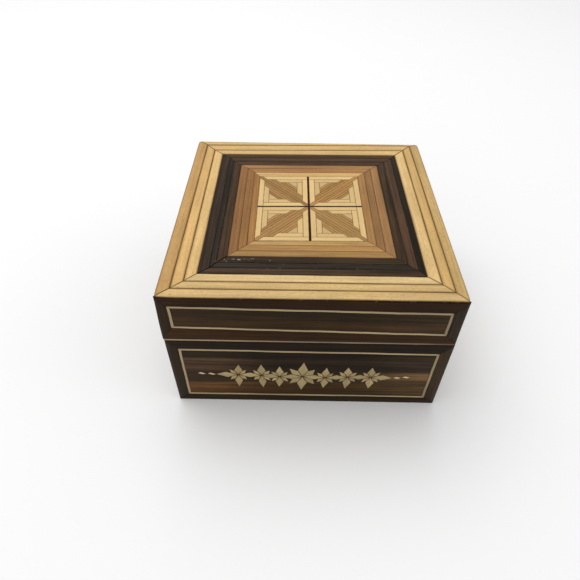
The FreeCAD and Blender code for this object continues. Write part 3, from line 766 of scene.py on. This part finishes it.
front, right, back, left = reaches[-1]
bar_low, bar_high = span("top_leaf_fl")[1], span("top_leaf_br")[0]
cross = Veneer("top_cross")
cross.bar(TOP, [(bar_low[0], -front), (bar_low[0] - 0.05, back), (bar_high[0] - 0.03, back),
                (bar_high[0] + 0.22, -front)], STRIP + 0.02, THIN_EDGE, top_tone(50, 35, 14))
for start, end in ((-left, bar_low[0]), (bar_high[0], right)):
    cross.bar(TOP, [(start, bar_low[1] + 0.1), (end, bar_low[1] + 0.1),
                    (end, bar_high[1] - 0.1), (start, bar_high[1] - 0.1)],
              STRIP + 0.01, THIN_EDGE, top_tone(56, 40, 18))
cross.make(CROSS)


def leaf_outlines():
    """Nine strips; the outer ones stop at the stepped bands."""
    strips = [[(0, 0), (SPINE, 0), (QUARTER, QUARTER - SPINE), (QUARTER, QUARTER),
               (QUARTER - SPINE, QUARTER), (0, SPINE)]]
    for index in range(4):
        near = SPINE + index * SLAT + 0.05
        far = SPINE + (index + 1) * SLAT - 0.03
        start = (1 + index // 2) * BAND
        end = QUARTER - start
        strip = [(start + near, start), (start + far, start), (end, end - far), (end, end - near)]
        strips += [strip, [(y, x) for x, y in strip]]
    return strips


def step_outlines():
    """Pale strips round the two free corners: outline, grain direction and band."""
    pieces = []
    gap = 0.03
    for band in range(2):
        near = SPINE if band == 0 else SPINE + 2 * SLAT
        start, end = band * BAND, QUARTER - band * BAND
        inner, outer = start + BAND - gap, end - BAND + gap
        pieces.append(([
            (start + near + gap, start), (outer - gap, start), (outer - gap, inner),
            (inner + near + gap, inner)], (1, 0), band))
        pieces.append(([
            (outer, start), (end, start), (end, end - near - gap), (outer, outer - near - gap)],
            (0, 1), band))
    reach = SPINE + 4 * SLAT + gap
    start, end = 2 * BAND, QUARTER - 2 * BAND
    pieces.append(([(start + reach, start), (end, start), (end, end - reach)], (1, 0), 2))
    return pieces + [([(y, x) for x, y in corners], along[::-1], band)
                     for corners, along, band in pieces]


LEAF_COLOURS = {"fl": (178, 137, 84), "fr": (170, 133, 80), "bl": (168, 129, 76),
                "br": (174, 132, 77)}
STEP_LIGHT = (1.0, 0.9, 0.8)
for name, sx, sy in (("fl", -1, -1), ("fr", 1, -1), ("bl", -1, 1), ("br", 1, 1)):
    low, high = span(f"top_leaf_{name}")
    start = np.array((low[0] if sx > 0 else high[0], low[1] if sy > 0 else high[1]))
    scale = (high[:2] - low[:2]) / QUARTER * (sx, sy)
    leaf = Veneer(f"top_leaf_{name}")
    for corners in leaf_outlines():
        leaf.plate(TOP, start + np.array(corners) * scale, STRIP + 0.01, PLATE_EDGE,
                   top_tone(*LEAF_COLOURS[name]) * leaf.rng.uniform(0.84, 1.1), (sx, sy),
                   stray=0.05, tilt=0.004)
    leaf.make(LEAF)
    steps = Veneer(f"top_steps_{name}")
    for corners, along, band in step_outlines():
        steps.plate(TOP, start + np.array(corners) * scale, STRIP, PLATE_EDGE,
                    top_tone(226, 194, 137) * STEP_LIGHT[band] * steps.rng.uniform(0.93, 1.05),
                    along, stray=0.04, tilt=0.004)
    steps.make(PALE)

# ---- Side veneers ----

BEVEL = math.radians(50.2)
REAR_CUTS = {
    part: ((0, AXIS_Y, PARTING), (0, math.sin(BEVEL), up * math.cos(BEVEL)))
    for part, up in (("base", 1), ("lid", -1))}
# Width of the stringing.
LINE = 1.0
# Colours of the bottom, top, left and right border strips.
BORDER_COLOURS = {
    ("lid", "front"): ((48, 34, 21), (42, 30, 19), (42, 33, 25), (50, 42, 34)),
    ("base", "front"): ((39, 31, 19), (33, 27, 18), (44, 36, 26), (49, 40, 30)),
    ("lid", "right"): ((48, 37, 27), (50, 38, 27), (51, 44, 36), (46, 35, 26)),
    ("base", "right"): ((44, 35, 25), (52, 40, 30), (54, 45, 35), (50, 40, 30)),
    ("lid", "back"): ((50, 38, 27), (44, 34, 25), (46, 37, 28), (52, 41, 30)),
    ("base", "back"): ((46, 35, 25), (52, 40, 28), (50, 40, 30), (44, 36, 28)),
    ("lid", "left"): ((54, 39, 27), (44, 33, 24), (50, 39, 28), (47, 38, 30)),
    ("base", "left"): ((42, 34, 24), (46, 37, 28), (53, 42, 30), (48, 40, 31))}
# The lines aren't quite level: how each half's lower and upper line climb, in mm per mm, on the
# front, right, back and left.
SLOPES = {
    "base": ((0.002, -0.006), (-0.003, 0.002), (0.002, -0.002), (-0.002, 0.003)),
    "lid": ((-0.019, -0.0115), (0.004, 0.002), (-0.003, -0.004), (0.005, 0.003))}
# The lid's right-hand line at the front stands further in, by this much.
SHIFTS = {"lid front": -0.55}


def uneven(name, levels, slopes):
    """A slight bend of everything on one face, so that its lines wander together."""
    rng = draws(name)
    lift, sway = wander(rng, 0.13), wander(rng, 0.1)
    shift = SHIFTS.get(name, 0)

    def bend(points):
        u, v = points[..., 0], points[..., 1]
        slope = np.interp(v, levels, (0, *slopes, 0))
        share = np.interp(v, levels, (0, 1, 1, 0))
        inside = 1 - smooth_step(np.abs(u), CORE - 1.5, CORE)
        across = sway(v * 3) + shift * smooth_step(u, 20, 48)
        return np.stack([u + inside * share * across, v + slope * u + share * lift(u)], -1)
    return bend


def frame_bars(piece, face, outer, inner, top, rounding, tints, stray=0.03):
    """Four mitred strips between an outer and an inner rectangle, each (low, high)."""
    gap = 0.03
    (x0, z0), (x1, z1) = outer
    (a0, c0), (a1, c1) = inner
    bars = (
        [(x0 + gap, z0), (x1 - gap, z0), (a1 - gap, c0), (a0 + gap, c0)],
        [(x0 + gap, z1), (x1 - gap, z1), (a1 - gap, c1), (a0 + gap, c1)],
        [(x0, z0 + gap), (x0, z1 - gap), (a0, c1 - gap), (a0, c0 + gap)],
        [(x1, z0 + gap), (x1, z1 - gap), (a1, c1 - gap), (a1, c0 + gap)])
    for corners, tint in zip(bars, tints):
        piece.bar(face, corners, top, rounding, tint, stray=stray)


# Bands of a field, bottom to top: where each starts, as a share of its height, and its colour at
# the left, in the middle and at the right.
BASE_BANDS = (
    (0.0, ((84, 60, 36), (58, 43, 24), (69, 55, 36))),
    (0.28, ((50, 40, 27), (54, 43, 30), (72, 56, 41))),
    (0.42, ((47, 38, 28), (50, 39, 27), (92, 71, 49))),
    (0.56, ((68, 52, 39), (38, 31, 24), (47, 39, 31))),
    (0.86, ((38, 33, 23), (30, 25, 15), (42, 36, 22))))
LID_BANDS = (
    (0.0, ((53, 41, 27), (48, 37, 25), (57, 44, 31))),
    (0.45, ((49, 38, 27), (45, 36, 25), (53, 42, 30))),
    (0.8, ((46, 37, 25), (36, 31, 20), (49, 39, 27))))


def banded(low, high, bands, rng):
    """Tint of a rosewood field: bands along the grain, with soft uneven edges."""
    drift = wander(rng, 0.035, (120.0, 60.0, 23.0))
    streaks, bow = wander(rng, 0.28, (7.3, 4.1, 2.3)), wander(rng, 0.9, (130.0, 70.0, 31.0))

    def tones(u, v):
        across = ((u - low[0]) / (high[0] - low[0]))[..., None]
        up = ((v - low[1]) / (high[1] - low[1]))[..., None]
        result = np.zeros(u.shape + (3,))
        for index, (start, colours) in enumerate(bands):
            left, middle, right = (side_tone(*colour) for colour in colours)
            colour = np.where(
                across < 0.5, left + (middle - left) * smooth_step(across, 0.08, 0.4),
                middle + (right - middle) * smooth_step(across, 0.65, 0.92))
            edge = start + drift(u + 40.0 * index)[..., None]
            share = 1.0 if index == 0 else smooth_step(up, edge - 0.02, edge + 0.03)
            result = mix(result, colour, share)
        return result * (1 + streaks(v + bow(u)))[..., None]
    return tones


# Flowers: place along the side, height, rise of the upper and lower petal and how far their tips
# lean, half width of those petals, and reach of the slanting petals.
FLOWERS = (
    (-28.65, 19.25, 7.0, 8.7, 0.55, 0.1, 1.75, 3.5),
    (-18.95, 19.05, 7.7, 8.9, 0.0, 0.55, 1.75, 3.5),
    (-11.5, 18.45, 7.3, 7.6, 0.05, -0.2, 1.7, 3.45),
    (-2.05, 18.75, 9.9, 9.95, 0.4, -0.3, 2.1, 5.3),
    (7.3, 18.25, 7.1, 7.8, 0.5, -0.3, 1.7, 3.45),
    (16.7, 18.85, 6.75, 8.7, -0.15, -0.4, 1.8, 3.5),
    (26.2, 19.0, 7.0, 8.5, 0.1, 0.0, 1.8, 3.5))
# Buds: place, height and tilt, which is positive where the right end is the higher one.
BUDS = ((-43.7, 19.75, -0.4), (-39.6, 19.6, -0.6), (37.1, 19.0, 0.15), (40.8, 19.5, 0.1))
# Beads lie between the flowers and beyond the last ones: where they start from a flower's middle,
# half their height, and where the end ones stop. GAP is between petals and beads.
BEAD_START = 0.4
BEAD_HALF = 1.65
END_BEAD = 9.1
END_BEAD_HALF = 1.9
GAP = 0.13
HEART_REACH = 3.2
# Heights of the petals' upper and lower side, and of the glue's upper side.
PROUD = VENEER + 0.05
UNDER = VENEER - 0.15
GLUE_TOP = VENEER + 0.022
GLUE_WIDTH = 0.16


def garland(face, node):
    """Petals, beads and buds let into a base field, and the dark glue that shows round them."""
    petals = Veneer(node)
    rng = petals.rng
    outlines = []
    for index, (x, z, above, below, lean_up, lean_down, half, reach) in enumerate(FLOWERS):
        for rise, lean, way in ((above, lean_up, 1), (below, lean_down, -1)):
            middle = (0.45 + rng.uniform(-0.02, 0.02)) * rise
            outlines.append((
                [(x, z + way * 0.1), (x + 0.45 * lean + half, z + way * middle),
                 (x + lean, z + way * rise), (x + 0.45 * lean - half, z + way * middle)],
                (lean, way * rise), (x, z)))
            for side in (-1, 1):
                beside = index + side
                if 0 <= beside < len(FLOWERS):
                    run = abs(FLOWERS[beside][0] - x) / 2 - BEAD_START
                    slope = (BEAD_HALF + way * (FLOWERS[beside][1] - z) / 2) / run
                else:
                    slope = 2 * END_BEAD_HALF / (END_BEAD - BEAD_START)
                high, wide = 0.72 * reach, 0.8 * reach
                upper = half * (high - 0.1) / (middle - 0.1) + GAP + 0.27 * lean * side
                lower = slope * (wide - BEAD_START) + GAP
                tip = reach * rng.uniform(0.96, 1.08)
                shape = ((0.3, 0.22), (upper, high), (tip, tip * rng.uniform(0.94, 1.05)),
                         (wide, lower))
                outlines.append((
                    [(x + side * a, z + way * b) for a, b in shape], (side, way), (x, z)))
    for before, after in zip(FLOWERS, FLOWERS[1:]):
        start, end = before[:2] + np.array((BEAD_START, 0)), after[:2] - np.array((BEAD_START, 0))
        middle = (start + end) / 2
        outlines.append((
            [start, middle - (rng.uniform(-0.3, 0.3), BEAD_HALF), end,
             middle + (rng.uniform(-0.3, 0.3), BEAD_HALF)], (1, 0), None))
    for (x, z, *_), way in ((FLOWERS[0], -1), (FLOWERS[-1], 1)):
        near, far = x + way * BEAD_START, x + way * END_BEAD
        tip_z = z + (0.3 if way < 0 else -0.2)
        outlines.append((
            [(near, z), ((near + far) / 2 - 0.3 * way, z - END_BEAD_HALF), (far, tip_z),
             ((near + far) / 2 + 0.3 * way, z + END_BEAD_HALF)], (1, 0), (x, z)))
    for corners, along, heart in outlines:
        light = rng.uniform(0.8, 1.12)
        petals.plate(face, corners, PROUD, PETAL_EDGE, side_tone(144, 129, 94) * light,
                     along, low=UNDER, stray=0.06, heart=heart,
                     heart_tint=side_tone(132, 106, 72) * light)
    for x, z, lean in BUDS:
        corners = [(x - 1.8, z - 0.4 * lean), (x + 0.35, z - 0.75), (x + 1.8, z + 0.4 * lean),
                   (x - 0.4, z + 0.8)]
        outlines.append((corners, (1, 0), None))
        petals.plate(face, corners, PROUD, PETAL_EDGE, side_tone(176, 156, 130), (1, 0),
                     low=UNDER, stray=0.05)
    petals.make(PETAL)
    glue = Veneer(node, petals.name + "_glue")
    for corners, along, _ in outlines:
        corners = np.array(corners, float)
        center = corners.mean(axis=0)
        grown = [center + (corner - center) * (1 + GLUE_WIDTH / np.linalg.norm(corner - center))
                 for corner in corners]
        glue.plate(face, grown, GLUE_TOP, (0.05, 0.02), (0.006, 0.004, 0.003), along,
                   low=UNDER, stray=0.08)
    glue.make(GLUE)


# How much further up the borders reach at the front, over the strips' edge and into the parting,
# how much further up at the other sides, and how much further down.
FRONT_RISE = {"base": 0.15, "lid": 0.9}
RISE = 0.1
DROP = {"base": 0.1, "lid": 0}
for part in ("base", "lid"):
    whole = span(f"{part}_border_front")
    strings = Veneer(f"{part}_stringing")
    for quarter, side in enumerate(SIDES):
        low, high = span(f"{part}_field_{side}")
        axis = quarter % 2
        field = ((-high[axis], low[2]), (high[axis], high[2]))
        string = ((-high[axis] - LINE, low[2] - LINE), (high[axis] + LINE, high[2] + LINE))
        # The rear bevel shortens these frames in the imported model; here they start out whole.
        half = HALF + OUT if axis == 0 else CORE
        top = whole[1][2] + (FRONT_RISE[part] if side == "front" else RISE)
        border = ((-half, whole[0][2] - DROP[part]), (half, top))
        out = OUT * axis
        levels = (border[0][1], string[0][1], string[1][1], border[1][1])
        bend = uneven(f"{part} {side}", levels, SLOPES[part][quarter])
        face = Face((0, -CORE - out, 0), (0, 0, 1), quarter, bend, under=-out)

        veneer = Veneer(f"{part}_border_{side}")
        frame_bars(veneer, face, border, string, VENEER, SIDE_EDGE,
                   [side_tone(*colour) for colour in BORDER_COLOURS[part, side]])
        veneer.make(BORDER, cut=None if side == "front" else REAR_CUTS[part])

        frame_bars(strings, face, string, field, VENEER + 0.02, (0.1, 0.06),
                   [side_tone(145, 129, 102) * light * strings.rng.uniform(0.92, 1.08)
                    for light in (1, 1, 1, 0.75 if side == "front" else 1)], stray=0.04)

        veneer = Veneer(f"{part}_field_{side}")
        bands = BASE_BANDS if part == "base" else LID_BANDS
        if side in ("right", "back"):
            bands = tuple((start, colours[::-1]) for start, colours in bands)
        veneer.sheet(face, *field, VENEER, banded(*field, bands, veneer.rng))
        veneer.make(FIELD)
        if part == "base" and side != "back":
            garland(face, f"base_garland_{side}")
    strings.make(STRING)

rim_low, rim_high = span("lid_rim_lipping")
rim = Veneer("lid_rim_lipping")
rim_top = rim_high[2] + 0.05
lip = changing(*((place, side_tone(*colour)) for place, colour in (
    (-55, (134, 115, 88)), (-28, (130, 113, 88)), (-10, (118, 104, 84)),
    (12, (118, 105, 86)), (40, (110, 95, 77)), (52, (80, 64, 48)))))
for quarter, half, out in ((0, HALF + OUT, 0), (1, CORE, OUT), (3, CORE, OUT)):
    face = Face((0, -CORE - out, 0), (0, 0, 1), quarter, under=-out)
    rim.bar(face, [(-half, rim_low[2]), (half, rim_low[2]), (half, rim_top), (-half, rim_top)],
            VENEER + 0.03, (0.12, 0.1), lip, stray=0.06, tone=0.2)
rim.make(STRING, REAR_CUTS["lid"])

# ---- Inside ----

VELVET_SHARP = 60


def pad(name, node, way):
    """Velvet over thin wadding on card: a plate that swells a little away from its edges."""
    low, high = span(node)
    rng = draws(name)
    width, thick = high[0] - low[0], high[2] - low[2]
    rounded = np.array([0, 0.08, 0.2, 0.45, 0.8])
    line = np.concatenate([rounded, np.linspace(1.6, width - 1.6, 44), width - rounded[::-1]])
    u, v = np.meshgrid(line, line, indexing="ij")
    edge = np.minimum(np.minimum(u, width - u), np.minimum(v, width - v))
    swell = wander(rng, 0.07, (31.0, 14.0, 7.0))(u + 0.4 * v)
    swell += wander(rng, 0.07, (31.0, 14.0, 7.0))(v - 0.3 * u)
    rise = np.clip(thick - 0.12 - fall(edge, (0.8, 0.7)) + swell, 0.05, thick + 0.02)
    ground = low[2] if way > 0 else high[2]
    faces, rim_of = skirted(len(line), len(line))
    upper = np.stack([low[0] + u, low[1] + v, ground + way * rise], axis=-1)
    lower = upper[rim_of].copy()
    lower[:, 2] = ground
    mesh = bpy.data.meshes.new(name)
    mesh.from_pydata((np.concatenate([upper.reshape(-1, 3), lower]) * MM).tolist(), [], faces)
    finish_mesh(mesh, VELVET, node, None, VELVET_SHARP)


pad("floor_pad", "base_floor_lining", 1)
pad("ceiling_pad", "lid_ceiling_lining", -1)

INSIDE = span("base_wall_linings")[1][0]
for part in ("base", "lid"):
    low, high = span(f"{part}_wall_linings")
    walls = Veneer(f"{part}_wall_linings", f"{part}_wall_pads")
    for quarter in range(4):
        face = Face((0, INSIDE, 0), (0, 0, 1), quarter)
        reach = INSIDE - 0.08
        walls.bar(face, [(-reach, low[2] + 0.02), (reach, low[2] + 0.02),
                         (reach, high[2] - 0.02), (-reach, high[2] - 0.02)], 0.96, VELVET_EDGE,
                  (0.2, 0.01, 0.02), stray=0.04)
    walls.make(VELVET, sharp=VELVET_SHARP)

for node, piece in frame["nodes"].items():
    if node.endswith("_board"):
        material = BOARDS["y" if "left" in node or "right" in node else "x"]
    elif node.endswith("hinge_screws"):
        material = SCREW
    elif "hinge" in node:
        material = HINGE
    else:
        continue
    for holder in piece.material_slots:
        holder.material = material

# ---- Stage ----

ground = bpy.data.meshes.new("ground")
ground.from_pydata([(-3, -3, 0), (3, -3, 0), (3, 3, 0), (-3, 3, 0)], [], [(0, 1, 2, 3)])
floor = placed("ground", ground)
paper = Nodes("paper")
paper.fill(paper.shader, Base_Color=(0.97, 0.97, 0.97, 1.0), Roughness=0.8)
ground.materials.append(paper.material)


def lamp(name, location, size, power):
    """An area light aimed at the middle of the box."""
    light = bpy.data.lights.new(name, "AREA")
    light.shape = "RECTANGLE"
    light.size, light.size_y = size
    light.energy = power
    holder = placed(name, light)
    holder.location = location
    aim = Vector((0, 0, 0.03)) - Vector(location)
    holder.rotation_euler = aim.to_track_quat("-Z", "Y").to_euler()


lamp("key", (-0.3, 0.35, 1.1), (1.2, 0.9), 6.8)
lamp("front_fill", (-0.5, -0.9, 0.55), (0.8, 0.6), 0.8)
lamp("side_fill", (0.9, -0.2, 0.5), (0.6, 0.6), 0.8)

world = bpy.data.worlds.new("studio")
bpy.context.scene.world = world
world.use_nodes = True
sky = world.node_tree.nodes["Background"].inputs
sky["Color"].default_value = (1.0, 1.0, 1.0, 1.0)
sky["Strength"].default_value = 0.62
bpy.context.scene.view_settings.view_transform = "Standard"

camera_data = bpy.data.cameras.new("camera")
camera_data.lens = 29.84
camera_data.sensor_width = 36.0
camera_data.clip_start = 0.01
camera = placed("camera", camera_data)
camera.location = (-0.00724, -0.17004, 0.18586)
camera.rotation_euler = tuple(math.radians(angle) for angle in (44.711, -0.572, 0.813))
bpy.context.scene.camera = camera
